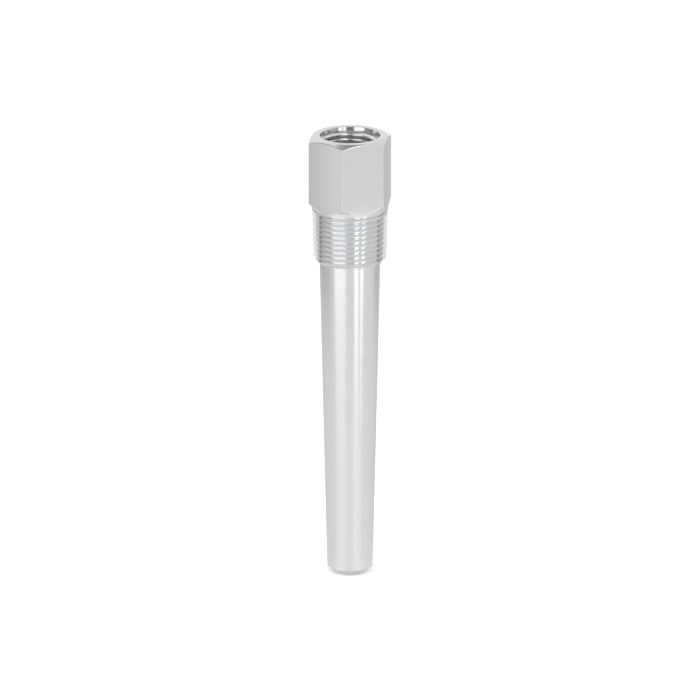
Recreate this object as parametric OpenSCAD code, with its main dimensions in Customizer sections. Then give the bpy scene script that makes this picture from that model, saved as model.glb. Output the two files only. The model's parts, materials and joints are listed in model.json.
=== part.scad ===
// Threaded bar-stock thermowell, turned and milled from one piece of hexagon
// bar: a hexagon head with a female instrument socket, a tapered male pipe
// thread, a tapered shank and a blind bore that stops short of the flat tip.
// The origin is the centre of the tip's flat end and +Z runs up the axis.
// All lengths are in millimetres.

/* [Hexagon head] */
// Width across the wrench flats
head_flats = 27; // [26.5:0.5:36]
// Length of the head along the axis, with the fillet under it
head_len = 26.95; // [24:0.05:45]
// Angle of the chamfer that takes off the head's top corners
corner_chamfer_deg = 30; // [15:1:40]
// How far the top chamfer reaches inside the flats
top_chamfer_inset = 0.6; // [0.1:0.1:1.2]
// Radius of the hollow fillet turned under the head's corners
under_head_fillet_r = 3.2; // [0.6:0.1:4]
// Width of the step left where that fillet meets the thread
under_head_step = 0.03; // [0.02:0.01:0.3]

/* [Instrument socket] */
// Diameter of the plain recess at the mouth
recess_d = 21.3; // [19.5:0.1:23]
// Depth of the plain recess
recess_depth = 1.9; // [0.5:0.1:4]
// Angle at which the recess narrows with its depth, measured from the axis
recess_draft_deg = 11; // [0:0.5:15]
// Tap drill diameter of the female pipe thread
tap_drill_d = 18.26; // [14:0.02:19]
// Depth of the tap drill's straight wall below the top face
tap_drill_depth = 20; // [12:0.5:30]

/* [Process thread] */
// Threads per inch of the male pipe thread
threads_per_inch = 14; // [11.5:0.5:18]
// Pitch diameter at the small end of the male thread
pitch_d_small_end = 24.58; // [23.6:0.02:25.2]
// Length of the male thread, from its small end to the head
thread_len = 19.05; // [14:0.05:30]
// Width of the flat on the thread's crests
crest_flat = 0.2; // [0.07:0.01:0.5]
// Width of the flat at the thread's roots
root_flat = 0.07; // [0.05:0.01:0.3]
// Turned diameter that the thread's crests never pass
thread_blank_d = 26.9; // [26:0.1:28]
// Angle round the axis at which the groove leaves the small end
thread_start_deg = 200; // [0:1:360]
// Angle of the lead chamfer at the small end, measured from the axis
lead_chamfer_deg = 45; // [30:1:60]

/* [Shank] */
// Insertion length, from the tip to the small end of the thread
insertion_len = 114.3; // [60:0.1:400]
// Diameter of the shank where it meets the thread
root_d = 21.5; // [18:0.1:21.8]
// Diameter of the shank at the tip
tip_d = 16; // [12:0.1:18]
// Radius of the fillet between the shank and the thread's end face
root_fillet_r = 0.4; // [0.2:0.1:0.6]
// Width of the thread's end face outside that fillet
end_face_w = 0.25; // [0.15:0.05:0.5]
// Size of the 45 degree chamfer round the tip
tip_chamfer = 2.1; // [0.5:0.1:2.5]

/* [Bore] */
// Diameter of the bore that takes the temperature probe
bore_d = 6.6; // [4:0.1:9]
// Thickness of metal left between the bore's point and the tip
tip_thickness = 6.35; // [3:0.05:12]
// Included angle of the drill points inside
drill_point_deg = 118; // [90:1:140]

/* [Hidden] */

$fn = 96;
steel = [0.78, 0.79, 0.8];
mm_per_inch = 25.4;

// Heights of the main planes
thread_end_z = insertion_len;
head_base_z = thread_end_z + thread_len;
top_z = head_base_z + head_len;
tap_drill_z = top_z - tap_drill_depth;

// Radii that several parts share
bore_r = bore_d / 2;
tap_drill_r = tap_drill_d / 2;
under_head_r = thread_blank_d / 2 + under_head_step;
end_face_r = root_d / 2 + root_fillet_r + end_face_w;
recess_floor_r = recess_d / 2 - recess_depth * tan(recess_draft_deg);

// American taper pipe thread: 60 degree flanks on a cone that grows by 1 in 16
// of its height on diameter
taper = 1 / 16;
flank_deg = 30;
pitch = mm_per_inch / threads_per_inch;
flank_len = (pitch - crest_flat - root_flat) / 2;
crest_above_pitch = (pitch / 2 - crest_flat) / (2 * tan(flank_deg));
root_below_pitch = (pitch / 2 - root_flat) / (2 * tan(flank_deg));

// The thread's solid starts on its end face and runs this far into the head
thread_core_top_z = head_base_z + pitch / 2;
// Flat facets in one turn of the thread
facets = 48;

// Radius of the shank's cone at height z
function shank_r(z) = tip_d / 2 + (root_d - tip_d) / 2 * z / insertion_len;

// Radius of the lead chamfer's cone at height z
function lead_r(z) = end_face_r + (z - thread_end_z) * tan(lead_chamfer_deg);

// Radius of the thread's pitch cone at height z
function pitch_r(z) = pitch_d_small_end / 2 + (z - thread_end_z) * taper / 2;

// Radii of the thread's crests and roots at height z
function crest_r(z) = min(pitch_r(z) + crest_above_pitch, thread_blank_d / 2, lead_r(z));
function root_r(z) = min(pitch_r(z) - root_below_pitch, lead_r(z));

// The corners of one turn's profile: height above the middle of the root, and
// whether the corner is on the crest
profile = [
    [root_flat / 2, false],
    [root_flat / 2 + flank_len, true],
    [root_flat / 2 + flank_len + crest_flat, true],
    [pitch - root_flat / 2, false]
];
corners_per_turn = len(profile);
turns = ceil((thread_core_top_z - thread_end_z) / pitch) + 2;
corners_per_facet = corners_per_turn * turns;

// Height of corner s on facet a: the right-hand helix climbs one pitch a turn
function corner_z(a, s) =
    thread_end_z - pitch * (1 + thread_start_deg / 360)
    + pitch * (a / facets + floor(s / corners_per_turn))
    + profile[s % corners_per_turn][0];

function corner_point(a, r, z) =
    let (deg = 360 * a / facets) [r * cos(deg), r * sin(deg), z];

function thread_corner(a, s) =
    let (z = corner_z(a, s), on_crest = profile[s % corners_per_turn][1])
    corner_point(a, on_crest ? crest_r(z) : root_r(z), z);

// Number of the point that corner s of facet a uses: a corner past either end
// of the thread falls on that end's ring, which closes the helix off flat
function point_index(a, s) =
    a == facets ? point_index(0, s + corners_per_turn)
    : corner_z(a, s) <= thread_end_z ? a
    : corner_z(a, s) >= thread_core_top_z ? facets + a
    : 2 * facets + a * corners_per_facet + s;

function is_triangle(f) = f[0] != f[1] && f[1] != f[2] && f[2] != f[0];

// The two triangles between corners s and s + 1 of facet a and of the next one
function patch(a, s) =
    let (low = point_index(a, s), high = point_index(a, s + 1))
    let (next_low = point_index(a + 1, s), next_high = point_index(a + 1, s + 1))
    [for (f = [[low, next_high, next_low], [low, high, next_high]]) if (is_triangle(f)) f];

// Solid core of the male thread with its helical ridge
module process_thread() {
    last = facets - 1;
    end_ring = [for (a = [0:last]) corner_point(a, end_face_r, thread_end_z)];
    core_ring = [for (a = [0:last])
        corner_point(a, root_r(thread_core_top_z), thread_core_top_z)];
    corners = [for (a = [0:last], s = [0:corners_per_facet - 1]) thread_corner(a, s)];
    skin = [for (a = [0:last], s = [0:corners_per_facet - 2]) each patch(a, s)];
    end_cap = [for (a = [0:last]) a];
    core_cap = [for (a = [0:last]) facets + last - a];
    polyhedron(concat(end_ring, core_ring, corners), concat(skin, [end_cap, core_cap]), 10);
}

// Hexagon bar whose corners are chamfered at the top, and turned away below in a
// hollow fillet that runs down to the thread
module head() {
    corner_r = head_flats / (2 * cos(30));
    top_face_r = head_flats / 2 - top_chamfer_inset;
    fillet_centre_r = under_head_r + under_head_fillet_r;
    fillet = [for (deg = [180:-9:90])
        [fillet_centre_r + under_head_fillet_r * cos(deg),
            head_base_z + under_head_fillet_r * sin(deg)]];
    turned_r = max(corner_r, fillet_centre_r) + 1;
    top = [
        [turned_r, head_base_z + under_head_fillet_r],
        [turned_r, top_z - (turned_r - top_face_r) * tan(corner_chamfer_deg)],
        [top_face_r, top_z],
        [0, top_z]
    ];
    intersection() {
        translate([0, 0, head_base_z])
            cylinder(h = head_len, r = corner_r, $fn = 6);
        rotate_extrude()
            polygon(concat([[0, head_base_z]], fillet, top));
    }
}

// Tapered shank with a chamfered tip. Its fillet ends on the thread's end face,
// and its top lies inside the thread's core.
module shank() {
    fillet_z = thread_end_z - root_fillet_r;
    fillet_centre_r = shank_r(fillet_z) + root_fillet_r;
    fillet = [for (deg = [180:-15:90])
        [fillet_centre_r + root_fillet_r * cos(deg), fillet_z + root_fillet_r * sin(deg)]];
    tip = [
        [0, 0],
        [tip_d / 2 - tip_chamfer, 0],
        [shank_r(tip_chamfer), tip_chamfer]
    ];
    core = [
        [fillet_centre_r - root_fillet_r, thread_end_z + root_fillet_r],
        [0, thread_end_z + root_fillet_r]
    ];
    rotate_extrude()
        polygon(concat(tip, fillet, core));
}

// Everything that is drilled out of the bar, as one revolved profile
module drilled_space() {
    point_slope = 1 / tan(drill_point_deg / 2);
    recess_z = top_z - recess_depth;
    above_z = top_z + recess_depth;
    bore_top_z = tap_drill_z - (tap_drill_r - bore_r) * point_slope;
    bore_end_z = tip_thickness + bore_r * point_slope;
    rotate_extrude()
        polygon([
            [0, tip_thickness],
            [bore_r, bore_end_z],
            [bore_r, bore_top_z],
            [tap_drill_r, tap_drill_z],
            [tap_drill_r, recess_z],
            [recess_floor_r, recess_z],
            [recess_d - recess_floor_r, above_z],
            [0, above_z]
        ]);
}

module thermowell() {
    color(steel)
        difference() {
            union() {
                head();
                process_thread();
                shank();
            }
            drilled_space();
        }
}

thermowell();
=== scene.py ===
"""Visual model of a bar-stock thermowell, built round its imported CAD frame.

The whole thermowell is turned and milled from one bar, so it is one closed mesh. Geometry Nodes
sweep its surface round the axis: a meridian for the turned and hexagonal parts, and a helical
groove for both pipe threads. Every length is in metres, in the frame's own coordinates.
"""

import json
import logging
import math
from collections.abc import Callable
from dataclasses import dataclass, field, fields
from enum import Enum
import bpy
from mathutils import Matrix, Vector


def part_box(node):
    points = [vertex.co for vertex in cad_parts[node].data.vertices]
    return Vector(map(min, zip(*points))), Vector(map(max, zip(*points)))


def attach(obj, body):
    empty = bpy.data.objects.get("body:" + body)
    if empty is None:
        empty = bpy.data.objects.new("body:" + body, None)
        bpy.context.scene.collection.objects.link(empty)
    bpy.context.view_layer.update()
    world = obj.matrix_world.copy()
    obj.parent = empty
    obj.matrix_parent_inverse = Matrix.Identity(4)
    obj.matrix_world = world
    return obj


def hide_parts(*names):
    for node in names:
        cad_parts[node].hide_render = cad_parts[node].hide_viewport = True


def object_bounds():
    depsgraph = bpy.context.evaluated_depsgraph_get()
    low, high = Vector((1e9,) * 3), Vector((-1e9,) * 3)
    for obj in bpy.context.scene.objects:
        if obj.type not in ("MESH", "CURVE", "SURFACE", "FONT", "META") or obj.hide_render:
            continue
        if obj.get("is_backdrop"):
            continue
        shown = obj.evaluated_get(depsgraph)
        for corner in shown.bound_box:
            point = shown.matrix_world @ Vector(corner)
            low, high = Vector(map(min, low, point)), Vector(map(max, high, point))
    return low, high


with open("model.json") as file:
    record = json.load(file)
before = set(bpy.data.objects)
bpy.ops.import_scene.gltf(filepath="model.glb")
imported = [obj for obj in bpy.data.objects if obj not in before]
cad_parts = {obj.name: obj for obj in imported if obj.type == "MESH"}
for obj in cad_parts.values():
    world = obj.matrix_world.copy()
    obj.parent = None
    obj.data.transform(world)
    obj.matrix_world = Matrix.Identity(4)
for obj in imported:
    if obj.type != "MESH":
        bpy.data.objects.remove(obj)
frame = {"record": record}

from types import SimpleNamespace

import bmesh
import bpy
from mathutils import Matrix, Vector

LOG = logging.getLogger("thermowell")

MM = 0.001
INCH = 25.4 * MM
MICRON = 0.001 * MM
NODE = "thermowell"
BODY = "root"
CAD_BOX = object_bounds()

# Points that meet closer than this are one point of the closed skin
WELD = 0.001 * MM
# Edges that turn more than this are shaded as sharp edges
SHARP_DEG = 25.0
# Extra rings at this distance keep the shading of a rounded edge off its neighbours
SUPPORT = 0.06 * MM
# The most that a broken edge takes of the depth beside it
MOST_BREAK = 0.4
# Share of the fillet's broken edge at which its first ring lies, so that the tree can tell it
EDGE_STARTS = 0.002
# Name of the attribute that tells each ring of a meridian what to follow
RULE = "rule"
HEX_SIDES = 6
SECTOR = math.tau / HEX_SIDES
HALF_SECTOR = SECTOR / 2
WHITE = (1.0, 1.0, 1.0, 1.0)


def placed(name: str, data: bpy.types.ID) -> bpy.types.Object:
    """Makes an object and puts it in the scene.

    Args:
        name: The object's name.
        data: Its mesh, camera or light.

    Returns:
        The object.
    """
    made = bpy.data.objects.new(name, data)
    bpy.context.scene.collection.objects.link(made)
    return made


# ------------------------------------------------------------------ node arithmetic


def _operation(name: str, swapped: bool = False) -> "Callable[..., Field]":
    """Makes a method that adds one Math node.

    Args:
        name: The node's operation.
        swapped: Whether the field is the node's last number instead of its first.

    Returns:
        The method, which takes the other numbers and returns the result.
    """

    def method(this: "Field", *others: "Field | float") -> "Field":
        """Adds the node to this field's tree."""
        numbers = (*others, this) if swapped else (this, *others)
        return this.sketch.math(name, *numbers)

    return method


class Field:
    """A number that a node tree computes at every point, written like ordinary arithmetic."""

    __add__ = _operation("ADD")
    __sub__ = _operation("SUBTRACT")
    __rsub__ = _operation("SUBTRACT", swapped=True)
    __mul__ = __rmul__ = _operation("MULTIPLY")
    __truediv__ = _operation("DIVIDE")

    # Tests, whose result is one for yes and zero for no
    __gt__ = _operation("GREATER_THAN")
    __lt__ = _operation("LESS_THAN")

    # The greater and the smaller of two numbers
    at_least = _operation("MAXIMUM")
    at_most = _operation("MINIMUM")

    # The number without its sign, the whole number below it and the nearest one
    size = _operation("ABSOLUTE")
    floor = _operation("FLOOR")
    nearest = _operation("ROUND")

    # Angles are in radians
    cos = _operation("COSINE")
    sin = _operation("SINE")
    arctan = _operation("ARCTANGENT")

    def __init__(self, sketch: "Sketch", socket: bpy.types.NodeSocket) -> None:
        """Wraps one output socket.

        Args:
            sketch: The node tree that the socket belongs to.
            socket: The output that carries the number.
        """
        self.sketch = sketch
        self.socket = socket

    def squared(self) -> "Field":
        """The number times itself."""
        return self * self

    def root(self) -> "Field":
        """Square root, and zero where there is none."""
        return self.sketch.math("SQRT", self.at_least(0.0))

    def choose(self, yes: "Field | float", no: "Field | float") -> "Field":
        """One of two numbers, by this test.

        Args:
            yes: The number where this field is one.
            no: The number where this field is zero.

        Returns:
            The chosen number.
        """
        return self * yes + (1.0 - self) * no


class Sketch:
    """A node tree in the making."""

    def __init__(self, tree: bpy.types.NodeTree) -> None:
        """Starts from an empty tree.

        Args:
            tree: The tree, whose nodes are cleared.
        """
        self.tree = tree
        tree.nodes.clear()

    def node(
        self, kind: str, inputs: dict[str | int, object] | None = None, **settings: object
    ) -> bpy.types.Node:
        """Adds a node, sets its properties and fills its inputs.

        Args:
            kind: Blender's type name of the node.
            inputs: A field, an output or a plain value for each input, by its name or number.
            **settings: Properties of the node.

        Returns:
            The new node.
        """
        made = self.tree.nodes.new(kind)
        for key, value in settings.items():
            setattr(made, key, value)
        for key, value in (inputs or {}).items():
            source = value.socket if isinstance(value, Field) else value
            if isinstance(source, bpy.types.NodeSocket):
                self.tree.links.new(source, made.inputs[key])
            else:
                made.inputs[key].default_value = source
        return made

    def math(self, operation: str, *values: "Field | float") -> Field:
        """Adds one Math node.

        Args:
            operation: The node's operation.
            *values: Its inputs in order.

        Returns:
            The node's result.
        """
        made = self.node("ShaderNodeMath", dict(enumerate(values)), operation=operation)
        return Field(self, made.outputs[0])

    def split(self, vector: bpy.types.NodeSocket) -> tuple[Field, Field, Field]:
        """The three numbers of a vector."""
        x, y, z = self.node("ShaderNodeSeparateXYZ", {0: vector}).outputs
        return Field(self, x), Field(self, y), Field(self, z)

    def join(self, *numbers: Field) -> bpy.types.NodeSocket:
        """The vector of three numbers."""
        return self.node("ShaderNodeCombineXYZ", dict(enumerate(numbers))).outputs[0]


class Recipe(Sketch):
    """A geometry node tree in the making, whose sizes are named inputs."""

    SOCKETS = {float: "NodeSocketFloat", int: "NodeSocketInt", bool: "NodeSocketBool"}

    def __init__(self, name: str) -> None:
        """Starts an empty tree with geometry in and out.

        Args:
            name: Name of the node group.
        """
        super().__init__(bpy.data.node_groups.new(name, "GeometryNodeTree"))
        self.identifiers: dict[str, str] = {}
        for way in ("INPUT", "OUTPUT"):
            self.tree.interface.new_socket(
                "Geometry", in_out=way, socket_type="NodeSocketGeometry"
            )
        self.start = self.node("NodeGroupInput")

    @property
    def source(self) -> bpy.types.NodeSocket:
        """The geometry that the tree is given."""
        return self.start.outputs["Geometry"]

    def named_input(self, name: str, kind: str) -> Field:
        """Adds a named input to the tree.

        Args:
            name: The size's name in the script, which the modifier shows in plain words.
            kind: Socket type.

        Returns:
            The input's value inside the tree.
        """
        label = name.replace("_", " ").capitalize()
        socket = self.tree.interface.new_socket(label, in_out="INPUT", socket_type=kind)
        self.identifiers[name] = socket.identifier
        return Field(self, self.start.outputs[label])

    def sizes(self, holder: type) -> SimpleNamespace:
        """Adds a named input for each field of a dataclass.

        Args:
            holder: The dataclass that holds the sizes.

        Returns:
            The inputs' values inside the tree, under the fields' names.
        """
        made = SimpleNamespace()
        for size in fields(holder):
            setattr(made, size.name, self.named_input(size.name, self.SOCKETS[size.type]))
        return made

    def sheet(
        self, columns: SimpleNamespace, rows: Field
    ) -> tuple[bpy.types.NodeSocket, Field, Field, Field]:
        """A flat sheet of quads that is bent into a skin afterwards.

        Args:
            columns: The named inputs of the columns.
            rows: Points along the meridian.

        Returns:
            The sheet, and at each point its row from zero, its angle round the axis and its
            angle from the nearest of the hexagon's corners, in radians.
        """
        count = columns.columns_per_sector * float(HEX_SIDES) + 1.0
        wide, deep = count - 1.0, rows - 1.0
        grid = self.node(
            "GeometryNodeMeshGrid",
            {"Size X": wide, "Size Y": deep, "Vertices X": count, "Vertices Y": rows},
        )
        x, y, _ = self.split(self.node("GeometryNodeInputPosition").outputs[0])
        column, row = (x + wide * 0.5).nearest(), (y + deep * 0.5).nearest()

        # The columns of a sector crowd towards the corner in its middle
        along = column / columns.columns_per_sector
        sector = along.floor()
        step = along - sector - 0.5
        crowding = columns.crowding
        offset = (step * crowding + step * step.size() * (2.0 - 2.0 * crowding)) * SECTOR
        return grid.outputs["Mesh"], row, sector * SECTOR + offset, offset

    def close(
        self, sheet: bpy.types.NodeSocket, angle: Field, radius: Field, height: Field
    ) -> None:
        """Bends the sheet into place, welds it, and ends the tree.

        Args:
            sheet: The flat sheet.
            angle: Angle round the axis, in radians.
            radius: Distance from the axis.
            height: Height above the tip.
        """
        place = self.join(radius * angle.cos(), radius * angle.sin(), height)
        finish = self.named_input("finish", "NodeSocketMaterial")
        made = sheet
        for kind, inputs in (
            ("GeometryNodeSetPosition", {"Position": place}),
            ("GeometryNodeMergeByDistance", {"Distance": WELD}),
            ("GeometryNodeRealizeInstances", {}),
            ("GeometryNodeSetMaterial", {"Material": finish}),
        ):
            made = self.node(kind, {"Geometry": made, **inputs}).outputs[0]
        self.node("NodeGroupOutput", {"Geometry": made})

    def bake(
        self, source: bpy.types.Mesh, finish: bpy.types.Material, *holders: object
    ) -> bpy.types.Mesh:
        """Runs the tree on a mesh and keeps the result as a plain mesh.

        Args:
            source: The mesh that the tree starts from.
            finish: The material of the result.
            *holders: The dataclasses that hold the sizes.

        Returns:
            The finished mesh.
        """
        carrier = placed("carrier", source)
        modifier = carrier.modifiers.new("skin", "NODES")
        modifier.node_group = self.tree
        modifier[self.identifiers["finish"]] = finish
        for holder in holders:
            for size in fields(holder):
                modifier[self.identifiers[size.name]] = getattr(holder, size.name)
        bpy.context.view_layer.update()
        graph = bpy.context.evaluated_depsgraph_get()
        made = bpy.data.meshes.new_from_object(
            carrier.evaluated_get(graph), preserve_all_data_layers=False, depsgraph=graph
        )
        carrier.modifiers.remove(modifier)
        bpy.data.objects.remove(carrier)
        return made


# ------------------------------------------------------------------ meridian


class Course(Enum):
    """What one ring of the skin follows."""

    ROUND = 0.0
    FLATS = 1.0
    FILLET = 2.0


@dataclass(frozen=True)
class Ring:
    """One ring of the skin, as the meridian meets it.

    A round ring has its radius and height. A ring on the flats lies inset from the hexagon, and
    its height falls by first for each unit that the hexagon reaches beyond second. A ring on
    the fillet lies at first, the share of the arc from the neck to the broken edge, or at
    second, the share of the broken edge from there to the wall; past one it lies above it.
    """

    radius: float
    height: float
    course: Course = Course.ROUND
    first: float = 0.0
    second: float = 0.0


@dataclass
class Meridian:
    """A line in the plane of the axis, from ring to ring, whose corners may be rounded."""

    corners: list[tuple[float, float, float]] = field(default_factory=list)
    step_deg: float = 15.0
    support: float = SUPPORT

    def to(self, radius: float, height: float, rounding: float = 0.0) -> "Meridian":
        """Adds a corner.

        Args:
            radius: Distance from the axis.
            height: Height above the tip.
            rounding: Radius of the corner's rounding.

        Returns:
            This line, for the next corner.
        """
        self.corners.append((radius, height, rounding))
        return self

    def rings(self) -> list[Ring]:
        """The rings of the line, with its roundings cut into short steps.

        Returns:
            One ring for each point, in order.
        """
        points: list[Vector] = []
        last = len(self.corners) - 1
        for i, (radius, height, rounding) in enumerate(self.corners):
            corner = Vector((radius, height))
            if rounding <= 0 or i in (0, last):
                points.append(corner)
                continue
            before = Vector(self.corners[i - 1][:2]) - corner
            after = Vector(self.corners[i + 1][:2]) - corner
            points += self._rounded(corner, before, after, rounding)
        return [Ring(point.x, point.y) for point in points]

    def _rounded(
        self, corner: Vector, before: Vector, after: Vector, rounding: float
    ) -> list[Vector]:
        """Rounds one corner.

        Args:
            corner: The sharp corner.
            before: The way from it to the corner before.
            after: The way from it to the corner after.
            rounding: Radius of the rounding.

        Returns:
            The points of the arc, with a supporting point beyond each end.
        """
        half = before.angle(after) / 2
        before, after = before.normalized(), after.normalized()
        centre = corner + (before + after).normalized() * (rounding / math.sin(half))
        back = rounding / math.tan(half)
        first, final = corner + before * back, corner + after * back
        arm, far_arm = first - centre, final - centre
        turn = math.pi - 2 * half
        steps = max(2, math.ceil(math.degrees(turn) / self.step_deg))
        way = 1 if arm.x * far_arm.y - arm.y * far_arm.x > 0 else -1
        arc = []
        for k in range(steps + 1):
            a = way * turn * k / steps
            x = arm.x * math.cos(a) - arm.y * math.sin(a)
            y = arm.x * math.sin(a) + arm.y * math.cos(a)
            arc.append(centre + Vector((x, y)))
        return [first + before * self.support, *arc, final + after * self.support]


@dataclass(frozen=True)
class Columns:
    """The columns of points round the axis, which every part of the skin shares."""

    columns_per_sector: int = 40
    crowding: float = 0.05


@dataclass(frozen=True)
class Bar:
    """The hexagon bar that the thermowell is cut from."""

    half_flats: float
    corner_radius: float = 0.3 * MM

    @property
    def corner(self) -> float:
        """Distance from the axis to a corner before it is rounded."""
        return self.half_flats / math.cos(HALF_SECTOR)


@dataclass(frozen=True)
class Fillet:
    """The hollow fillet turned under the head, from its neck out to the hexagon."""

    neck_radius: float
    fillet_base: float
    fillet_radius: float = 3.2 * MM
    fillet_edge_break: float = 0.3 * MM
    edge_support: float = SUPPORT


class SweptSkin:
    """Geometry Nodes rule for turned surfaces and for those that follow the hexagon."""

    def __init__(self, columns: Columns, bar: Bar, fillet: Fillet) -> None:
        """Builds the tree.

        Args:
            columns: The columns round the axis.
            bar: The hexagon bar.
            fillet: The fillet under the head.
        """
        self.holders = (columns, bar, fillet)
        self.recipe = Recipe("swept_skin")
        self._build()

    def _build(self) -> None:
        """Adds the nodes: sample the meridian, follow the hexagon, and turn it round."""
        r = self.recipe
        columns, bar, fillet = (r.sizes(type(holder)) for holder in self.holders)
        domain = r.node("GeometryNodeAttributeDomainSize", {"Geometry": r.source})
        rows = Field(r, domain.outputs["Point Count"])
        sheet, row, angle, from_corner = r.sheet(columns, rows)
        place = r.node("GeometryNodeInputPosition").outputs[0]
        radius, _, height = self._sample(place, row)
        rule = r.node(
            "GeometryNodeInputNamedAttribute", {"Name": RULE}, data_type="FLOAT_VECTOR"
        )
        course, first, second = self._sample(rule.outputs["Attribute"], row)

        # The hexagon's reach at this angle, with its corners rounded
        from_corner = from_corner.size()
        from_flat = HALF_SECTOR - from_corner
        flat_reach = bar.half_flats / from_flat.cos()
        inner_flats = bar.half_flats - bar.corner_radius
        arm = inner_flats / math.cos(HALF_SECTOR)
        across = arm * from_corner.sin()
        past_arm = (bar.corner_radius.squared() - across.squared()).root()
        round_reach = arm * from_corner.cos() + past_arm
        tangent = (inner_flats * math.tan(HALF_SECTOR) / bar.half_flats).arctan()
        reach = (from_corner < HALF_SECTOR - tangent).choose(round_reach, flat_reach)

        on_flats = course > (Course.ROUND.value + Course.FLATS.value) / 2
        on_fillet = course > (Course.FLATS.value + Course.FILLET.value) / 2
        fall = (reach - second).at_least(0.0) * first
        radius = on_flats.choose(reach + radius, radius)
        height = on_flats.choose(height - fall, height)
        fillet_radius, fillet_height = self._on_fillet(fillet, reach, first, second)
        radius = on_fillet.choose(fillet_radius, radius)
        height = on_fillet.choose(fillet_height, height)
        r.close(sheet, angle, radius, height)

    def _on_fillet(
        self, fillet: SimpleNamespace, reach: Field, share: Field, lift: Field
    ) -> tuple[Field, Field]:
        """Where a ring lies on the fillet or on the broken edge above it.

        Args:
            fillet: The fillet's named inputs.
            reach: Radius of the hexagon at this angle.
            share: Share of the arc from the neck.
            lift: Share of the broken edge, or more for the wall above it.

        Returns:
            The ring's radius and height.
        """
        neck, base, bend = fillet.neck_radius, fillet.fillet_base, fillet.fillet_radius
        cut = fillet.fillet_edge_break.at_most((reach - neck) * MOST_BREAK)
        foot = reach - cut

        def rise_at(radius: Field) -> Field:
            """Height of the arc above the fillet's base at a radius."""
            return (bend.squared() - (bend - (radius - neck)).squared()).root()

        turn = (rise_at(foot) / (bend - (foot - neck))).arctan() * share
        arc_radius = neck + bend * (1.0 - turn.cos())
        arc_height = base + bend * turn.sin()

        # The broken edge is a short curve from the arc's end to the wall
        along = lift.at_most(1.0)
        left = (1.0 - along).squared()
        edge_radius = left * foot + (1.0 - left) * reach
        edge_height = (
            base
            + left * rise_at(foot)
            + (1.0 - left) * rise_at(reach)
            + along.squared() * cut
            + (lift - 1.0).at_least(0.0) * fillet.edge_support
        )
        on_edge = lift > EDGE_STARTS / 2
        return on_edge.choose(edge_radius, arc_radius), on_edge.choose(edge_height, arc_height)

    def _sample(self, source: bpy.types.NodeSocket, row: Field) -> tuple[Field, Field, Field]:
        """Reads a vector of the meridian at a row.

        Args:
            source: The vector at each point of the meridian.
            row: Row number.

        Returns:
            The vector's three numbers.
        """
        sample = self.recipe.node(
            "GeometryNodeSampleIndex",
            {"Geometry": self.recipe.source, "Value": source, "Index": row},
            data_type="FLOAT_VECTOR",
            domain="POINT",
        )
        return self.recipe.split(sample.outputs[0])

    def make(self, rings: list[Ring], finish: bpy.types.Material) -> bpy.types.Mesh:
        """Turns rings into a skin.

        Args:
            rings: The rings in order, with the metal on their right.
            finish: The skin's material.

        Returns:
            The skin as a plain mesh.
        """
        line = bpy.data.meshes.new("meridian")
        line.from_pydata(
            [(ring.radius, 0.0, ring.height) for ring in rings],
            [(i, i + 1) for i in range(len(rings) - 1)],
            [],
        )
        rule = line.attributes.new(RULE, "FLOAT_VECTOR", "POINT")
        for datum, ring in zip(rule.data, rings):
            datum.vector = (ring.course.value, ring.first, ring.second)
        return self.recipe.bake(line, finish, *self.holders)


@dataclass(frozen=True)
class PipeThread:
    """Sizes of one tapered thread.

    Radii carry a sign: positive where the groove is cut into the outside of a bar, negative
    where it is cut into the wall of a hole, so that one rule makes both.
    """

    pitch: float
    groove_at_zero: float
    turns: int
    low: float
    high: float
    low_ring: float
    high_ring: float
    surface_radius: float
    surface_slope: float
    surface_limit: float
    root_radius: float
    root_slope: float
    lead_radius: float = 1.0
    lead_slope: float = 0.0
    fade_height: float = 0.0
    fade_slope: float = 1.0
    top_down: bool = False
    root_flat: float = 0.07 * MM
    crest_break: float = 0.04 * MM
    flank_angle: float = math.radians(30)


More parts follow.
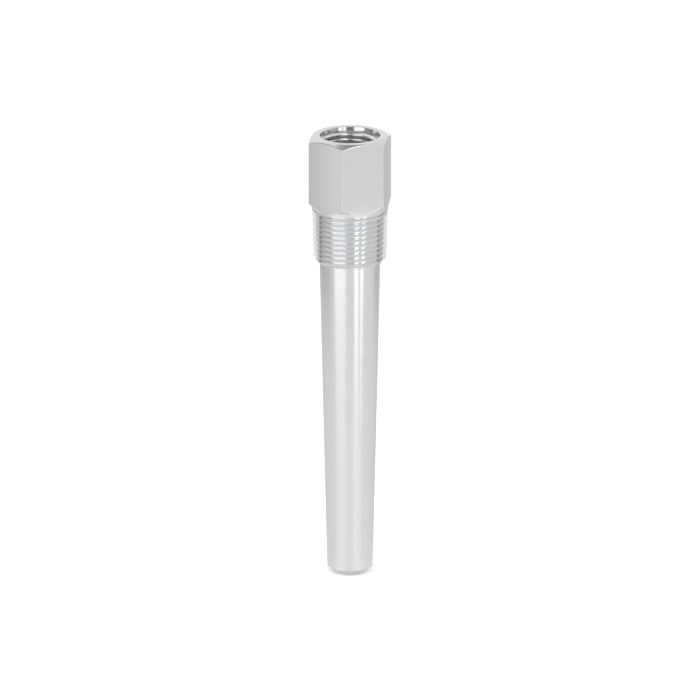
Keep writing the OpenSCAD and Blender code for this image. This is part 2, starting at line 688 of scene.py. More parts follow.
class ThreadSkin:
    """Geometry Nodes rule for a tapered helical groove, outside a bar or inside a hole.

    The rows of one turn are the two edges of the groove's root, 0 and 1, and two rings at each
    of the crest's edges, 2 and 3, then 4 and 5, which break that edge. Rows past either end lie
    on that end's plane.
    """

    ROWS_PER_TURN = 6.0

    def __init__(self, columns: Columns) -> None:
        """Builds the tree.

        Args:
            columns: The columns round the axis.
        """
        self.columns = columns
        self.recipe = Recipe("thread_skin")
        self._build()

    def _build(self) -> None:
        """Adds the nodes of the rule."""
        r = self.recipe
        columns, t = r.sizes(Columns), r.sizes(PipeThread)
        rows = t.turns * self.ROWS_PER_TURN + 2.0
        sheet, row, angle, _ = r.sheet(columns, rows)
        row = t.top_down.choose(rows - 1.0 - row, row)
        half_root = t.root_flat * 0.5
        rise = t.flank_angle.sin() / t.flank_angle.cos()

        # Which turn and which of its rows this point is on
        inner = row - 1.0
        turn = (inner / self.ROWS_PER_TURN).floor()
        place = inner - turn * self.ROWS_PER_TURN
        next_groove = place > 3.5
        side = 1.0 - 2.0 * next_groove.at_least(place < 0.5)
        is_root = place < 1.5
        is_crest = (place > 2.5) * (place < 4.5)
        first_centre = t.groove_at_zero + angle * (t.pitch / math.tau)
        centre = first_centre + (turn + next_groove) * t.pitch

        def cone_at(z: Field) -> Field:
            """Radius of the cone that the crests lie on."""
            return t.surface_radius + (z - t.low) * t.surface_slope

        def lead_at(z: Field) -> Field:
            """Radius of the lead chamfer."""
            return t.lead_radius + (z - t.low) * t.lead_slope

        def surface_at(z: Field) -> Field:
            """Radius of the uncut surface at a height."""
            return cone_at(z).at_most(t.surface_limit).at_most(lead_at(z))

        def root_at(z: Field) -> Field:
            """Radius of the groove's root.

            Args:
                z: Height of the groove's centre.

            Returns:
                The root's radius, where it is cut short by the lead and where it fades out.
            """
            cut = (t.root_radius + (z - t.low) * t.root_slope).at_most(lead_at(z.at_least(t.low)))
            room = ((z - t.fade_height) * t.fade_slope).at_least(0.0)
            return cut.at_least(surface_at(z.at_least(t.low)) - room)

        def section_at(z: Field) -> Field:
            """Radius of the thread's own section at this angle.

            Args:
                z: Height of the section's point.

            Returns:
                The radius of the groove's flank, its root or the surface beside it.
            """
            nearest = first_centre + ((z - first_centre) / t.pitch).nearest() * t.pitch
            off = ((z - nearest).size() - half_root).at_least(0.0)
            return surface_at(z).at_most(root_at(nearest) + off / rise)

        # Where the flank from the root leaves the surface: its cone, its limit or the lead
        bottom = root_at(centre)

        def leaves(radius: Field, slope: Field | float) -> Field:
            """Distance from the groove's centre at which its flank meets a sloping line."""
            return (half_root + (radius - bottom) * rise) / (1.0 - side * slope * rise)

        reach = leaves(cone_at(centre), t.surface_slope).at_most(leaves(t.surface_limit, 0.0))
        reach = reach.at_most(leaves(lead_at(centre), t.lead_slope)).at_least(half_root)
        edge_height = centre + side * reach
        edge_radius = surface_at(edge_height).at_least(bottom)
        cut = t.crest_break.at_most((edge_radius - bottom) * MOST_BREAK)
        crest_height = edge_height + side * cut
        height = is_root.choose(
            centre + side * half_root,
            is_crest.choose(crest_height, edge_height - side * cut * t.flank_angle.sin()),
        )
        flank_radius = edge_radius - cut * t.flank_angle.cos()
        radius = is_root.choose(bottom, is_crest.choose(surface_at(crest_height), flank_radius))

        # Past an end the skin lies on that end's plane, where the groove cuts it
        below, above = height < t.low, height > t.high
        radius = below.choose(section_at(t.low), above.choose(section_at(t.high), radius))
        height = height.at_least(t.low).at_most(t.high)

        # The first and last rows are the plain rings that the thread joins
        is_low, is_high = row < 0.5, row > rows - 1.5
        radius = is_low.choose(t.low_ring, is_high.choose(t.high_ring, radius))
        height = is_low.choose(t.low, is_high.choose(t.high, height))
        r.close(sheet, angle, radius.size(), height)

    def make(self, thread: PipeThread, finish: bpy.types.Material) -> bpy.types.Mesh:
        """Cuts a thread.

        Args:
            thread: The thread's sizes.
            finish: The thread's material.

        Returns:
            The threaded skin as a plain mesh.
        """
        return self.recipe.bake(bpy.data.meshes.new("seed"), finish, self.columns, thread)


# ------------------------------------------------------------------ finishes


class Lay(Enum):
    """Which way the fine marks of a finish run, as the turn of its stretched highlights."""

    # Round the axis, as turning and facing leave them
    AROUND = 0.25
    # Along the axis, as drawing the bar leaves them
    ALONG = 0.0


def blank_material(name: str) -> tuple[bpy.types.Material, Sketch]:
    """Starts a material.

    Args:
        name: The material's name.

    Returns:
        The material and its empty node tree.
    """
    made = bpy.data.materials.new(name)
    made.use_nodes = True
    return made, Sketch(made.node_tree)


@dataclass(frozen=True)
class SteelFinish:
    """One machined finish of stainless steel."""

    name: str
    tone: float
    roughness: float
    anisotropy: float
    mark_depth: float
    seed: float
    mark_pitch: float = 0.12 * MM
    lay: Lay = Lay.AROUND
    blue: float = 0.005
    marks_per_metre: float = 60.0
    cloud_pitch: float = 6.0 * MM
    cloud: float = 0.03
    cloud_seed: float = 5.0
    cloud_range: tuple[float, float] = (0.3, 0.7)
    gloss_range: tuple[float, float] = (0.85, 1.2)
    mark_gloss: float = 0.25
    mark_tint: float = 0.3

    def material(self) -> bpy.types.Material:
        """Builds the finish as a node material, once.

        Returns:
            The material.
        """
        made = bpy.data.materials.get(self.name)
        if made:
            return made
        made, sketch = blank_material(self.name)
        place = sketch.node("ShaderNodeTexCoord").outputs["Object"]
        around = sketch.node(
            "ShaderNodeVectorMath", {0: (0.0, 0.0, 1.0), 1: place}, operation="CROSS_PRODUCT"
        )
        marks = self._marks(sketch, place)
        seed, scale = self.seed + self.cloud_seed, 1.0 / self.cloud_pitch
        clouds = self._noise(sketch, place, W=seed, Scale=scale, Detail=4.0)
        gloss = sketch.node(
            "ShaderNodeMapRange",
            {
                "Value": clouds,
                "From Min": self.cloud_range[0],
                "From Max": self.cloud_range[1],
                "To Min": self.roughness * self.gloss_range[0],
                "To Max": self.roughness * self.gloss_range[1],
            },
        )
        mark_gloss = (marks - 0.5) * (self.roughness * self.mark_gloss)
        rough = Field(sketch, gloss.outputs[0]) + mark_gloss
        bump = sketch.node(
            "ShaderNodeBump", {"Strength": 1.0, "Distance": self.mark_depth, "Height": marks}
        )
        shader = sketch.node(
            "ShaderNodeBsdfPrincipled",
            {
                "Metallic": 1.0,
                "Base Color": self._tint(sketch, clouds, marks),
                "Roughness": rough,
                "Anisotropic": self.anisotropy,
                "Anisotropic Rotation": self.lay.value,
                "Tangent": around.outputs[0],
                "Normal": bump.outputs[0],
            },
        )
        sketch.node("ShaderNodeOutputMaterial", {"Surface": shader.outputs[0]})
        return made

    def _noise(self, sketch: Sketch, place: bpy.types.NodeSocket, **inputs: float) -> Field:
        """Adds a noise pattern.

        Args:
            sketch: The material's node tree.
            place: Where the pattern is read.
            **inputs: The noise node's inputs, of which W is the seed.

        Returns:
            The pattern, about one half.
        """
        kind = "ShaderNodeTexNoise"
        noise = sketch.node(kind, {"Vector": place, **inputs}, noise_dimensions="4D")
        return Field(sketch, noise.outputs[0])

    def _marks(self, sketch: Sketch, place: bpy.types.NodeSocket) -> Field:
        """Tool marks: close together across the lay and long along it.

        Args:
            sketch: The material's node tree.
            place: Object coordinates.

        Returns:
            The marks, about one half.
        """
        x, y, z = sketch.split(place)
        fine, long = 1.0 / self.mark_pitch, self.marks_per_metre
        if self.lay is Lay.AROUND:
            radius = (x.squared() + y.squared()).root()
            stretched = sketch.join(x * long, y * long, (radius + z) * fine)
        else:
            stretched = sketch.join(x * fine, y * fine, z * long)
        return self._noise(sketch, stretched, W=self.seed, Scale=1.0, Detail=3.0, Roughness=0.6)

    def _tint(self, sketch: Sketch, clouds: Field, marks: Field) -> bpy.types.NodeSocket:
        """The metal's colour, which changes slowly and a little from mark to mark.

        Args:
            sketch: The material's node tree.
            clouds: The slow pattern.
            marks: The tool marks.

        Returns:
            The colour.
        """
        metal = (self.tone, self.tone, self.tone + self.blue)
        mixed = sketch.node(
            "ShaderNodeMix",
            {
                "Factor": clouds * (1 - self.mark_tint) + marks * self.mark_tint,
                "A": (*(c * (1 - self.cloud) for c in metal), 1.0),
                "B": (*(c * (1 + self.cloud) for c in metal), 1.0),
            },
            data_type="RGBA",
        )
        return mixed.outputs["Result"]


# Name, tone, roughness, anisotropy, depth of the marks, seed, and some with pitch and lay
TURNED = SteelFinish("turned_steel", 0.62, 0.17, 0.9, 0.4 * MICRON, 0.0)
HOLLOW = SteelFinish("hollow_steel", 0.62, 0.24, 0.6, 0.6 * MICRON, 6.0)
EDGE = SteelFinish("broken_edge_steel", 0.66, 0.16, 0.0, 0.4 * MICRON, 7.0)
DRAWN = SteelFinish("drawn_steel", 0.61, 0.10, 0.0, 0.8 * MICRON, 2.0, 0.15 * MM, Lay.ALONG)
FACED = SteelFinish("faced_steel", 0.65, 0.22, 0.6, 0.8 * MICRON, 3.0)
# The cut thread's tone is raised above the shank's, though the bar is one steel, so that its
# grooves come out brighter: painted light
THREAD_CUT_BRIGHTENED = SteelFinish("thread_cut_steel", 0.72, 0.11, 0.2, 0.3 * MICRON, 4.0, 0.1 * MM)
# The tapped thread's tone is raised further, to stand in for light lost deep in the socket's
# grooves: painted light
TAPPED_BRIGHTENED = SteelFinish("tapped_steel", 0.76, 0.25, 0.85, 0.4 * MICRON, 8.0, 0.1 * MM)
BORED = SteelFinish("bored_steel", 0.62, 0.11, 0.3, 0.4 * MICRON, 5.0)


# ------------------------------------------------------------------ parts of the bar


@dataclass(frozen=True)
class Span:
    """Where a round mount lies on the axis."""

    radius: float
    low: float
    high: float


@dataclass(frozen=True)
class Datums:
    """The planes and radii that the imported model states.

    The bore, the tap drill's wall and the process thread are its round mounts. The thread's
    radius is that of its pitch line, half way up.
    """

    top: float
    half_flats: float
    bore: Span
    tap: Span
    thread: Span

    @classmethod
    def read(cls) -> "Datums":
        """Takes them from the CAD node's box and the record's mounts.

        Returns:
            The datums.
        """
        _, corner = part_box(NODE)
        mounts = {m["name"]: m for m in frame["record"]["mounts"]}

        def span(name: str) -> Span:
            """Measures a round mount.

            Args:
                name: The mount's name.

            Returns:
                Its radius and its ends.
            """
            mount = mounts[name]
            half = mount["dims"]["length_mm"] * MM / 2
            middle = mount["pos_m"][2]
            return Span(mount["dims"]["r_mm"] * MM, middle - half, middle + half)

        round_mounts = ("probe_bore", "instrument_thread", "process_thread")
        return cls(corner.z, corner.y, *(span(name) for name in round_mounts))


@dataclass
class Shank:
    """The tapered stem below the thread, with its chamfered tip."""

    datums: Datums
    root_radius: float = 10.75 * MM
    tip_radius: float = 8.0 * MM
    tip_chamfer: float = 2.1 * MM
    root_fillet: float = 0.4 * MM
    end_face_width: float = 0.25 * MM
    edge_break: float = 0.15 * MM

    def radius_at(self, height: float) -> float:
        """Radius of the taper at a height."""
        gain = (self.root_radius - self.tip_radius) / self.datums.thread.low
        return self.tip_radius + gain * height

    @property
    def end_face_radius(self) -> float:
        """Radius at which the thread's end face meets its lead chamfer."""
        return self.root_radius + self.root_fillet + self.end_face_width

    def build(self, skin: SweptSkin) -> list[bpy.types.Mesh]:
        """Makes the shank's skin, from the tip's centre to the thread.

        Args:
            skin: The rule that turns a meridian.

        Returns:
            The skin's meshes.
        """
        end = self.datums.thread.low
        line = (
            Meridian()
            .to(0.0, 0.0)
            .to(self.tip_radius - self.tip_chamfer, 0.0, self.edge_break)
            .to(self.radius_at(self.tip_chamfer), self.tip_chamfer, self.edge_break * 2)
            .to(self.radius_at(end), end, self.root_fillet)
            .to(self.end_face_radius, end)
        )
        return [skin.make(line.rings(), TURNED.material())]


@dataclass(frozen=True)
class PipeGauge:
    """What the two taper pipe threads have in common."""

    threads_per_inch: float = 14.0
    taper: float = 1 / 16
    spare_turns: int = 3

    @property
    def slope(self) -> float:
        """Radius that the thread gains for each unit of height."""
        return self.taper / 2

    def helix(self, low: float, high: float, start_deg: float) -> dict[str, float]:
        """The turns that cover a length of thread.

        Args:
            low: Height of the thread's low end.
            high: Height of its high end.
            start_deg: Angle round the axis at which a groove crosses the low end.

        Returns:
            Those sizes of a PipeThread.
        """
        pitch = INCH / self.threads_per_inch
        return {
            "pitch": pitch,
            "groove_at_zero": low - pitch * (1 + start_deg / 360),
            "turns": math.ceil((high - low) / pitch) + self.spare_turns,
            "low": low,
            "high": high,
        }


@dataclass
class ProcessThread:
    """The tapered male pipe thread."""

    datums: Datums
    end_face_radius: float
    gauge: PipeGauge = PipeGauge()
    crest_above_pitch: float = 0.6124 * MM
    root_below_pitch: float = 0.725 * MM
    blank_radius: float = 13.45 * MM
    lead_slope: float = 1.0
    start_deg: float = 200.0
    fade_above: float = 0.1 * MM
    fade_slope: float = 1.6

    def build(self, skin: ThreadSkin) -> list[bpy.types.Mesh]:
        """Makes the thread's skin, from its end face to the head.

        Args:
            skin: The rule that cuts a thread.

        Returns:
            The skin's meshes.
        """
        low, high = self.datums.thread.low, self.datums.thread.high
        pitch_radius = self.datums.thread.radius - (high - low) / 2 * self.gauge.slope
        thread = PipeThread(
            **self.gauge.helix(low, high, self.start_deg),
            low_ring=self.end_face_radius,
            high_ring=self.blank_radius,
            surface_radius=pitch_radius + self.crest_above_pitch,
            surface_slope=self.gauge.slope,
            surface_limit=self.blank_radius,
            root_radius=pitch_radius - self.root_below_pitch,
            root_slope=self.gauge.slope,
            lead_radius=self.end_face_radius,
            lead_slope=self.lead_slope,
            fade_height=high + self.fade_above,
            fade_slope=-self.fade_slope,
        )
        return [skin.make(thread, THREAD_CUT_BRIGHTENED.material())]


@dataclass(frozen=True)
class Mouth:
    """The plain recess at the mouth, which narrows a little with its depth."""

    radius: float = 10.65 * MM
    draft_deg: float = 11.0
    edge_break: float = 0.16 * MM
    lip: float = 0.32 * MM
    bend_share: float = 0.55
    bend_in: float = 0.05 * MM

    def radius_at(self, depth: float) -> float:
        """Radius of the recess at a depth below the top face."""
        return self.radius - depth * math.tan(math.radians(self.draft_deg))


@dataclass
class HexHead:
    """The wrench head, cut from the hexagon bar, chamfered above and hollowed below."""

    datums: Datums
    bar: Bar
    fillet: Fillet
    mouth: Mouth
    chamfer_deg: float = 30.0
    top_inset: float = 0.6 * MM
    edge_break: float = 0.3 * MM
    break_steps: int = 4
    fillet_steps: int = 9

    def build(self, skin: SweptSkin) -> list[bpy.types.Mesh]:
        """Makes the head's skin, from the thread up to the mouth's edge.

        Args:
            skin: The rule that turns a meridian and follows the hexagon.

        Returns:
            The skin's meshes.
        """
        top = self.datums.top
        rise = math.tan(math.radians(self.chamfer_deg))
        top_radius = self.datums.half_flats - self.top_inset
        tangent = self.edge_break * rise

        def on_fillet(share: float, lift: float = 0.0) -> Ring:
            """A ring under the corners."""
            return Ring(0.0, 0.0, Course.FILLET, share, lift)

        def on_chamfer(inset: float, height: float) -> Ring:
            """A ring that follows the chamfer's cut in the hexagon."""
            return Ring(inset, height, Course.FLATS, rise, top_radius)

        steps = range(self.break_steps + 1)
        hollow = [on_fillet(k / self.fillet_steps) for k in range(1, self.fillet_steps + 1)]
        low_break = [on_fillet(1.0, max(k / self.break_steps, EDGE_STARTS)) for k in steps]
        high_break = []
        for k in steps:
            turn = math.radians(90 - self.chamfer_deg) * k / self.break_steps
            inset = -self.edge_break * (1 - math.cos(turn))
            high_break.append(on_chamfer(inset, top + self.edge_break * math.sin(turn) - tangent))
        last = high_break[-1]
        crown = on_chamfer(last.radius - SUPPORT, last.height + SUPPORT * rise)
        face = (
            Meridian()
            .to(self.bar.corner, top - (self.bar.corner - top_radius) * rise)
            .to(top_radius, top, self.mouth.edge_break)
            .to(self.mouth.radius, top, self.mouth.edge_break)
            .to(self.mouth.radius_at(self.mouth.lip), top - self.mouth.lip)
            .rings()
        )
        wall = [
            low_break[-1],
            on_fillet(1.0, 2.0),
            on_chamfer(0.0, top - tangent - SUPPORT),
            high_break[0],
        ]
        neck = Ring(self.fillet.neck_radius, self.fillet.fillet_base)
        return [
            skin.make([neck, *hollow[:-1], *low_break], HOLLOW.material()),
            skin.make(wall, DRAWN.material()),
            skin.make(high_break, EDGE.material()),
            skin.make([high_break[-1], crown, *face[1:]], FACED.material()),
        ]


@dataclass
class InstrumentSocket:
    """The recess at the mouth and the female taper thread below it."""

    datums: Datums
    mouth: Mouth
    gauge: PipeGauge = PipeGauge()
    major_radius: float = 10.2 * MM
    thread_depth_along: float = 15.4 * MM
    start_deg: float = 230.0
    fade_slope: float = 1.0
    crest_break: float = 0.22 * MM

    def build(self, swept: SweptSkin, threaded: ThreadSkin) -> list[bpy.types.Mesh]:
        """Makes the socket's skin, from the mouth's broken edge to the tap drill's wall.

        Args:
            swept: The rule that turns a meridian.
            threaded: The rule that cuts a thread.

        Returns:
            The skin's meshes.
        """
        top, floor, lip = self.datums.top, self.datums.tap.high, self.mouth.lip
        floor_radius = self.mouth.radius_at(top - floor)
        low = self.thread_end
        bend = lip + (top - floor - lip) * self.mouth.bend_share
        wall = [
            Ring(self.mouth.radius_at(lip), top - lip),
            Ring(self.mouth.radius_at(bend) - self.mouth.bend_in, top - bend),
            Ring(floor_radius, floor),
        ]
        slope = self.gauge.slope
        thread = PipeThread(
            **self.gauge.helix(low, floor, self.start_deg),
            low_ring=-self.datums.tap.radius,
            high_ring=-floor_radius,
            surface_radius=-self.datums.tap.radius,
            surface_slope=0.0,
            surface_limit=-self.datums.tap.radius,
            root_radius=-self.major_radius + self.thread_depth_along * slope,
            root_slope=-slope,
            fade_height=low,
            fade_slope=self.fade_slope,
            top_down=True,
            crest_break=self.crest_break,
        )
        return [
            swept.make(wall, BORED.material()),
            threaded.make(thread, TAPPED_BRIGHTENED.material()),
        ]

    @property
    def thread_end(self) -> float:
        """Height at which the thread has run out."""
        return self.datums.tap.high - self.thread_depth_along


@dataclass
class ProbeBore:
    """The blind bore that takes the probe, with the tap drill's wall above it."""

    datums: Datums
    start: float
    point_deg: float = 118.0

    def build(self, skin: SweptSkin) -> list[bpy.types.Mesh]:
        """Makes the bore's skin, from the end of the female thread to the drill point.

        Args:
            skin: The rule that turns a meridian.

        Returns:
            The skin's meshes.
        """
        d = self.datums
        drop = 1 / math.tan(math.radians(self.point_deg / 2))
        shoulder = d.bore.high + (d.tap.radius - d.bore.radius) * drop
        rings = [
            Ring(d.tap.radius, self.start),
            Ring(d.tap.radius, shoulder),
            Ring(d.bore.radius, d.bore.high),
            Ring(d.bore.radius, d.bore.low),
            Ring(0.0, d.bore.low - d.bore.radius * drop),
        ]
        return [skin.make(rings, BORED.material())]


class Thermowell:
    """The whole thermowell: one bar, one closed mesh."""

    def __init__(self) -> None:
        """Reads the datums and sets up the parts."""
        self.datums = Datums.read()
        self.bar = Bar(self.datums.half_flats)
        self.columns = Columns()
        self.shank = Shank(self.datums)
        self.thread = ProcessThread(self.datums, self.shank.end_face_radius)
        self.mouth = Mouth()
        self.socket = InstrumentSocket(self.datums, self.mouth)
        self.fillet = Fillet(self.thread.blank_radius, self.datums.thread.high)
        self.head = HexHead(self.datums, self.bar, self.fillet, self.mouth)
        self.bore = ProbeBore(self.datums, self.socket.thread_end)

    def build(self) -> bpy.types.Object:
        """Makes every part's skin and welds them into one closed body.

        Returns:
            The finished piece, which stands for the CAD node.
        """
        swept = SweptSkin(self.columns, self.bar, self.fillet)
        threaded = ThreadSkin(self.columns)
        skins: list[bpy.types.Mesh] = []
        for name, made in (
            ("shank", self.shank.build(swept)),
            ("process thread", self.thread.build(threaded)),
            ("head", self.head.build(swept)),
            ("socket", self.socket.build(swept, threaded)),
            ("bore", self.bore.build(swept)),
        ):
            LOG.info("%s: %d faces", name, sum(len(m.polygons) for m in made))
            skins += made
        piece = self._weld(skins)
        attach(piece, BODY)
        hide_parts(NODE)
        return piece

    def _weld(self, skins: list[bpy.types.Mesh]) -> bpy.types.Object:
        """Joins skins that share their rings.

        Args:
            skins: The skins, each with its own material.

        Returns:
            One object with a closed mesh.
        """
        mesh = bpy.data.meshes.new("thermowell_bar")
        body = bmesh.new()
        for skin in skins:
            finish = skin.materials[-1]
            if finish.name not in mesh.materials:
                mesh.materials.append(finish)
            before = len(body.faces)
            body.from_mesh(skin)
            body.faces.ensure_lookup_table()
            for face in body.faces[before:]:
                face.material_index = mesh.materials.find(finish.name)
                face.smooth = True
        bmesh.ops.remove_doubles(body, verts=body.verts, dist=WELD)
        bmesh.ops.dissolve_degenerate(body, edges=body.edges, dist=WELD)
        open_edges = sum(1 for edge in body.edges if len(edge.link_faces) != 2)
        LOG.info("welded: %d faces, %d open edges", len(body.faces), open_edges)
        body.to_mesh(mesh)
        body.free()
        for skin in skins:
            bpy.data.meshes.remove(skin)
        mesh.set_sharp_from_angle(angle=math.radians(SHARP_DEG))
        return placed("thermowell_bar", mesh)


# ------------------------------------------------------------------ studio


@dataclass
class StudioCamera:
    """A long lens that looks down on the head."""

    distance: float = 8.0
    azimuth_deg: float = -20.45
    elevation_deg: float = 16.4
    aim_height: float = 81.3 * MM
    aim_right: float = 0.018 * MM
    picture_width: float = 247.3 * MM
    near: float = 0.1
    far_times: float = 4.0

    def toward(self, azimuth_deg: float) -> Vector:
        """Level direction from the object at an angle from the camera's side.

        Args:
            azimuth_deg: Angle from the camera's direction, positive to its right.

        Returns:
            A unit vector.
        """
        a = math.radians(self.azimuth_deg + azimuth_deg)
        return Vector((math.sin(a), -math.cos(a), 0.0))

    def build(self) -> bpy.types.Object:
        """Makes the camera and makes it the scene's.

        Returns:
            The camera.
        """
        data = bpy.data.cameras.new("camera")
        camera = placed("camera", data)
        bpy.context.scene.camera = camera
        up = math.radians(self.elevation_deg)
        back = self.toward(0) * math.cos(up) + Vector((0, 0, math.sin(up)))
        aim = Vector((0, 0, self.aim_height)) + self.toward(90) * self.aim_right
        camera.location = aim + back * self.distance
        camera.rotation_mode = "QUATERNION"
        camera.rotation_quaternion = (-back).to_track_quat("-Z", "Y")
        data.lens = data.sensor_width * self.distance / self.picture_width
        data.clip_start, data.clip_end = self.near, self.distance * self.far_times
        return camera


def glowing_cloth(name: str, level: float | str) -> bpy.types.Material:
    """A cloth that glows evenly or by its mesh's own levels.

    Args:
        name: The material's name.
        level: Its brightness, or the attribute that holds it.

    Returns:
        The material.
    """
    made, sketch = blank_material(name)
    made.cycles.emission_sampling = "NONE"
    if isinstance(level, str):
        level = sketch.node("ShaderNodeAttribute", attribute_name=level).outputs["Fac"]
    glow = sketch.node("ShaderNodeEmission", {"Strength": level})
    sketch.node("ShaderNodeOutputMaterial", {"Surface": glow.outputs[0]})
    return made


def reflected_only(sheet: bpy.types.Object) -> None:
    """Leaves a sheet to the reflections: it isn't seen, lights no floor and casts no shadow.

    Args:
        sheet: The sheet.
    """
    sheet.visible_camera = False
    sheet.visible_diffuse = False
    sheet.visible_shadow = False


def shown(sketch: Sketch) -> Field:
    """Tells the rays that show the background from those that only light the object.

    Args:
        sketch: The material's or the world's node tree.

    Returns:
        One for camera, glossy and transmission rays, and zero for the rest.
    """
    path = sketch.node("ShaderNodeLightPath").outputs
    names = ("Is Camera Ray", "Is Glossy Ray", "Is Transmission Ray")
    camera, glossy, through = (Field(sketch, path[name]) for name in names)
    return camera.at_least(glossy).at_least(through)


@dataclass(frozen=True)
class Band:
    """How bright the light tent is round the object, from one height to another.

    The knots pair an angle from the camera's side, positive to its right, with a level.
    """

    low: float
    high: float
    knots: tuple[tuple[float, float], ...]

    def level(self, turn_deg: float) -> float:
        """Brightness at an angle.

        Args:
            turn_deg: Angle from the camera's side.

        Returns:
            The level, where one is white.
        """
        for (start, first), (end, last) in zip(self.knots, self.knots[1:]):
            if start <= turn_deg <= end:
                return first + (last - first) * (turn_deg - start) / (end - start)
        return self.knots[-1][1]


# What several bands share: the floor's right side, and the back of the wall's upper part
FLOOR_RIGHT = ((103, 1.03), (127, 0.98), (140, 0.84))
BACK_LEFT = ((-180, 1.00), (-128, 1.10), (-110, 0.90), (-96, 0.50))
BACK_RIGHT = ((103, 0.92), (128, 1.00), (180, 1.00))


@dataclass
class Tent:
    """The light tent round the object: a curved wall and the floor inside it.

    Only the metal's reflections show it: two softboxes and a gap between them in front, darker
    sides, and painted pools of light on the floor before the softboxes. Its levels blend from
    band to band.
    """

    camera: StudioCamera
    radius: float = 0.215
    height: float = 0.65
    bands: tuple[Band, ...] = (
        # The floor and the foot of the wall, for the shank, with painted pools of light before the
        # softboxes
        Band(0.0, 0.001, (
            (-180, 0.74), (-150, 0.80), (-135, 0.92), (-115, 1.00), (-95, 1.03), (-72, 1.09),
            (-61, 1.15), (-51, 1.20), (-37, 1.23), (-24, 1.21), (-15, 1.16), (-6, 1.13),
            (2, 1.13), (11, 1.17), (20, 1.24), (33, 1.25), (43, 1.21), (52, 1.15), (67, 1.09),
            (78, 1.07), *FLOOR_RIGHT, (152, 0.74), (180, 0.70),
        )),
        Band(0.010, 0.014, (
            (-180, 0.74), (-150, 0.79), (-135, 0.90), (-115, 1.01), (-95, 1.03), (-72, 1.06),
            (-64, 1.10), (-57, 1.28), (-50, 1.40), (-28, 1.41), (-19, 1.24), (-12, 1.11),
            (8, 1.09), (14, 1.14), (20, 1.42), (26, 1.66), (31, 1.42), (36, 1.20), (43, 1.38),
            (48, 1.36), (54, 1.12), (67, 1.06), *FLOOR_RIGHT, (152, 0.73), (180, 0.70),
        )),
        Band(0.034, 0.050, (
            (-180, 0.74), (-150, 0.76), (-135, 0.80), (-92, 0.80), (-78, 0.92), (-64, 1.02),
            (-58, 1.24), (-52, 1.30), (-24, 1.32), (-18, 1.12), (-11, 0.99), (8, 0.97),
            (17, 1.04), (21, 1.50), (26, 1.75), (31, 1.55), (35, 1.12), (38, 1.10), (43, 1.55),
            (48, 1.60), (52, 1.10), (60, 1.00), (98, 0.98), (110, 0.88), (122, 0.79),
            (140, 0.74), (180, 0.70),
        )),
        # The softboxes at their brightest, for the process thread
        Band(0.054, 0.069, (
            (-180, 0.70), (-150, 0.66), (-142, 0.30), (-111, 0.30), (-104, 0.44),
            (-78, 0.55), (-62, 0.86), (-58, 2.20), (-17, 2.20), (-11, 1.10), (13, 1.10),
            (17, 2.90), (28, 2.90), (31, 1.05), (37, 1.05), (40, 2.90), (49, 2.90), (52, 1.30),
            (73, 1.15), (98, 1.00), (106, 0.40), (124, 0.40), (131, 0.70), (180, 0.72),
        )),
        # A nearly even wall, for the head's flats
        Band(0.0715, 0.110, (
            (-180, 1.00), (-120, 0.90), (-100, 0.74), (-79, 0.76), (-78, 0.80), (-77, 0.95),
            (-76, 1.05), (-75, 1.02), (-72, 1.00), (-60, 1.14), (15, 1.14), (30, 1.02),
            (45, 1.02), (60, 0.95), (120, 0.80), (150, 0.54), (157, 0.55), (158, 0.82),
            (180, 0.86),
        )),
        # Strips of light between dark cloths, for the inside of the mouth
        Band(0.135, 0.205, (
            *BACK_LEFT, (-88, 0.38), (-60, 0.38), (-56, 1.90), (-19, 2.00), (-15, 0.26),
            (14, 0.26), (17, 2.00), (24, 2.00), (27, 1.00), (32, 1.00), (35, 1.95), (44, 1.95),
            (47, 0.50), (62, 0.60), (78, 0.72), *BACK_RIGHT,
        )),
        Band(0.215, 0.235, (
            *BACK_LEFT, (-62, 0.36), (48, 0.36), (62, 0.50), (78, 0.72), *BACK_RIGHT,
        )),
        Band(0.26, 0.33, (
            *BACK_LEFT, (-62, 0.32), (-55, 0.75), (-21, 0.75), (-15, 0.26), (14, 0.26),
            (17, 0.80), (23, 0.80), (26, 0.60), (33, 0.60), (36, 0.80), (43, 0.80), (47, 0.40),
            (62, 0.50), (78, 0.72), *BACK_RIGHT,
        )),
        Band(0.365, 0.45, (
            *BACK_LEFT, (-62, 0.38), (-58, 2.00), (-16, 2.00), (-12, 0.26), (12, 0.26),
            (15, 2.20), (48, 2.20), (52, 0.60), (78, 0.72), *BACK_RIGHT,
        )),
        # Two bright cards high up, for the chamfer's line of light
        Band(0.50, 0.65, (
            *BACK_LEFT, (-77, 0.40), (-75, 5.00), (-60, 5.00), (-56, 1.20), (24, 1.20),
            (28, 6.00), (52, 6.00), (56, 0.80), (78, 0.80), *BACK_RIGHT,
        )),
    )
    floor_from: float = 0.0105
    lift: float = 0.3 * MM
    step_deg: float = 1.0
    close_rows: int = 45
    close_height: float = 0.135
    wide_rows: int = 16

    def level(self, turn_deg: float, height: float) -> float:
        """Brightness of the wall, or of the floor where the height is zero.

        Args:
            turn_deg: Angle from the camera's side.
            height: Height above the floor.

        Returns:
            The level, where one is white.
        """
        for under, over in zip(self.bands, self.bands[1:]):
            if height <= under.high:
                return under.level(turn_deg)
            if height < over.low:
                share = (height - under.high) / (over.low - under.high)
                first = under.level(turn_deg)
                return first + (over.level(turn_deg) - first) * share
        return self.bands[-1].level(turn_deg)

    def rows(self) -> list[tuple[float, float]]:
        """Where the sheet's rows lie: across the floor, and up the wall in two spacings.

        Returns:
            The radius and height of each row, from the object out and up.
        """
        step = self.close_height / self.close_rows
        wide_step = (self.height - self.close_height) / self.wide_rows
        heights = [step * i for i in range(self.close_rows + 1)]
        heights += [self.close_height + wide_step * i for i in range(1, self.wide_rows + 1)]
        return [(self.floor_from, 0.0), *((self.radius, height) for height in heights)]

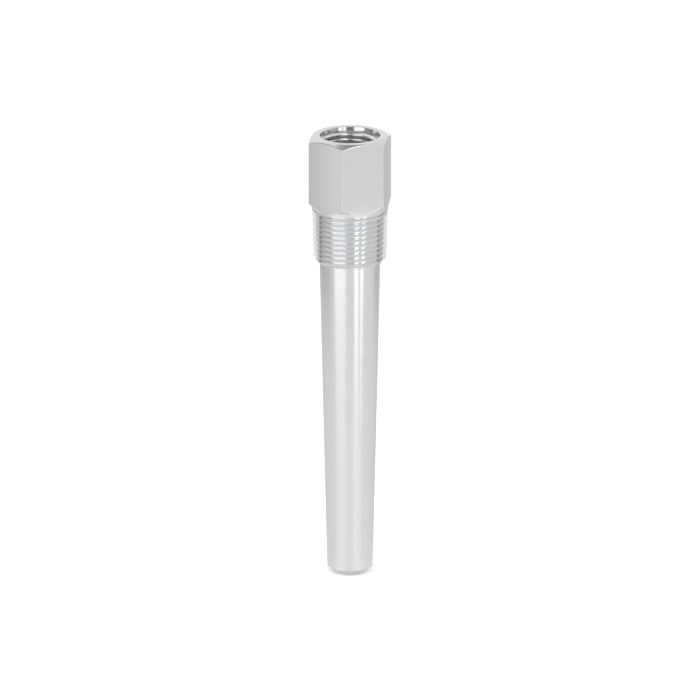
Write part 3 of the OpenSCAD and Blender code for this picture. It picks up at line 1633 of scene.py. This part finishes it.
    def build(self) -> None:
        """Makes the tent as one sheet that the metal sees and the camera doesn't."""
        rows = self.rows()
        columns = round(360 / self.step_deg)
        points, levels, faces = [], [], []
        for i in range(columns + 1):
            turn = -180 + 360 * i / columns
            side = self.camera.toward(turn)
            for radius, height in rows:
                points.append((side.x * radius, side.y * radius, height + self.lift))
                levels.append(self.level(turn, height))
        for i in range(columns):
            for k in range(len(rows) - 1):
                here = i * len(rows) + k
                faces.append((here, here + len(rows), here + len(rows) + 1, here + 1))
        mesh = bpy.data.meshes.new("tent")
        mesh.from_pydata(points, [], faces)
        mesh.attributes.new("level", "FLOAT", "POINT").data.foreach_set("value", levels)
        mesh.materials.append(glowing_cloth("tent_cloth", "level"))
        sheet = placed("tent", mesh)
        reflected_only(sheet)
        sheet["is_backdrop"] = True


@dataclass
class Studio:
    """The pale floor, the white surroundings, the light tent and the lights."""

    camera: StudioCamera
    surroundings_level: float = 0.9
    floor_radius: float = 4.0
    floor_height: float = -0.02 * MM
    floor_tone: float = 0.8
    floor_lift: float = 0.36
    overhead_height: float = 1.0
    overhead_radius: float = 0.34
    overhead_level: float = 0.3
    key_size: float = 1.2
    key_watts: float = 4.0
    key_turn_deg: float = -35.0
    key_distance: float = 0.8
    key_height: float = 1.5

    def build(self) -> None:
        """Makes everything that isn't the object."""
        self._world()
        self._floor()
        Tent(self.camera).build()
        self._overhead()
        self._key()

    def _world(self) -> None:
        """White surroundings, which the metal and the camera both see."""
        world = bpy.data.worlds.new("surroundings")
        bpy.context.scene.world = world
        world.use_nodes = True
        sketch = Sketch(world.node_tree)
        levels = (self.surroundings_level, 1.0)
        lit, seen = (
            sketch.node("ShaderNodeBackground", {"Color": WHITE, "Strength": level}).outputs[0]
            for level in levels
        )
        mixed = sketch.node("ShaderNodeMixShader", {0: shown(sketch), 1: lit, 2: seen})
        sketch.node("ShaderNodeOutputWorld", {"Surface": mixed.outputs[0]})

    def _disk(
        self, name: str, radius: float, height: float, sides: int, made_of: bpy.types.Material
    ) -> bpy.types.Object:
        """Makes a level disk round the axis.

        Args:
            name: The disk's name.
            radius: Its radius.
            height: Its height above the tip.
            sides: Sides of its outline.
            made_of: Its material.

        Returns:
            The disk.
        """
        mesh = bpy.data.meshes.new(name)
        body = bmesh.new()
        lifted = Matrix.Translation((0.0, 0.0, height))
        bmesh.ops.create_circle(body, cap_ends=True, segments=sides, radius=radius, matrix=lifted)
        body.to_mesh(mesh)
        body.free()
        mesh.materials.append(made_of)
        return placed(name, mesh)

    def _floor(self) -> None:
        """A plain pale floor that keeps the object's shadow."""
        made, sketch = blank_material("pale_floor")
        shader = sketch.node(
            "ShaderNodeBsdfPrincipled",
            {
                "Base Color": (*[self.floor_tone] * 3, 1.0),
                "Roughness": 0.9,
                "Specular IOR Level": 0.0,
                "Emission Color": WHITE,
                "Emission Strength": shown(sketch) * self.floor_lift,
            },
        )
        sketch.node("ShaderNodeOutputMaterial", {"Surface": shader.outputs[0]})
        floor = self._disk("floor", self.floor_radius, self.floor_height, 96, made)
        floor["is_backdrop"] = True

    def _overhead(self) -> None:
        """A dark disk straight above, which only the metal's reflections show."""
        cloth = glowing_cloth("overhead_cloth", self.overhead_level)
        disk = self._disk("overhead", self.overhead_radius, self.overhead_height, 64, cloth)
        reflected_only(disk)
        disk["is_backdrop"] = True

    def _key(self) -> None:
        """A large soft light above, for the shadow at the tip."""
        data = bpy.data.lights.new("key", "AREA")
        data.shape = "DISK"
        data.size = self.key_size
        data.energy = self.key_watts
        key = placed("key", data)
        level_place = self.camera.toward(self.key_turn_deg) * self.key_distance
        key.location = level_place + Vector((0, 0, self.key_height))
        key.rotation_mode = "QUATERNION"
        key.rotation_quaternion = (-key.location).to_track_quat("-Z", "Y")
        key.visible_camera = False
        key.visible_glossy = False


def main() -> None:
    """Builds the camera, the studio and the thermowell, in that order."""
    logging.basicConfig(level=logging.INFO, format="%(name)s: %(message)s")
    camera = StudioCamera()
    camera.build()
    bpy.context.scene.view_settings.view_transform = "Standard"
    Studio(camera).build()
    LOG.info("studio: floor, tent and overhead")
    piece = Thermowell().build()
    LOG.info("%s: %d triangles", piece.name, sum(len(p.vertices) - 2 for p in piece.data.polygons))
    boxes = {"cad": CAD_BOX, "visual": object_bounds()}
    {name: [list(corner) for corner in box] for name, box in boxes.items()}


if __name__ == "__main__":
    main()
